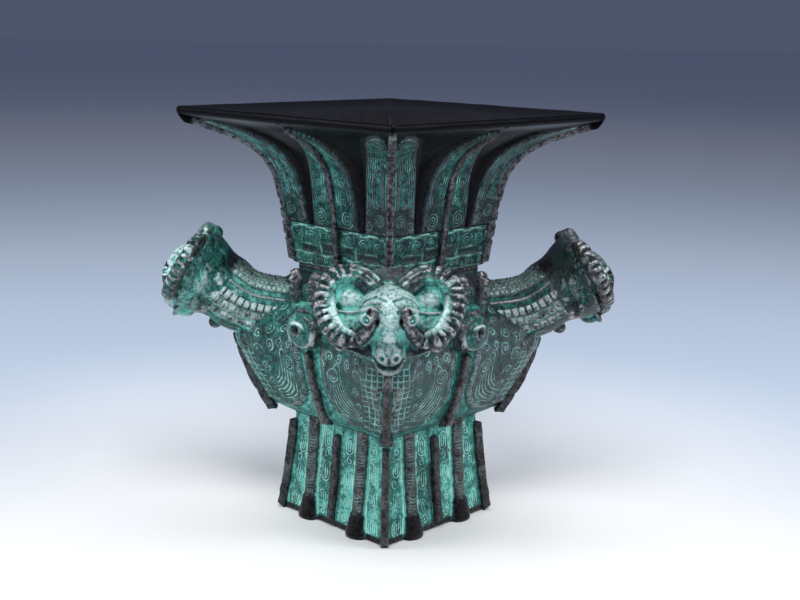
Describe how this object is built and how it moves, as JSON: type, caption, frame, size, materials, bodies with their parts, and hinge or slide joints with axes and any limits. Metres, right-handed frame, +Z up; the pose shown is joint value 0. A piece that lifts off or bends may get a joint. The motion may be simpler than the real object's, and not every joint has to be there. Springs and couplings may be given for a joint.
{
  "type": "square bronze incense burner with ram heads",
  "caption": "Square cast bronze vessel for incense, with a wide flared mouth, ram heads on the corners of its body and a square foot.",
  "frame": {"origin": "on the ground, under the middle of the square foot", "axes": "+Z up; the flat faces look along X and Y, and the ram heads stand on the diagonals"},
  "size_m": [0.1396, 0.1396, 0.15],
  "materials": {
    "patinated_bronze": "dark cast bronze with green verdigris in the hollows, worn brighter on the raised edges"
  },
  "bodies": {
    "root": {"incense_burner": "patinated_bronze"}
  },
  "joints": []
}
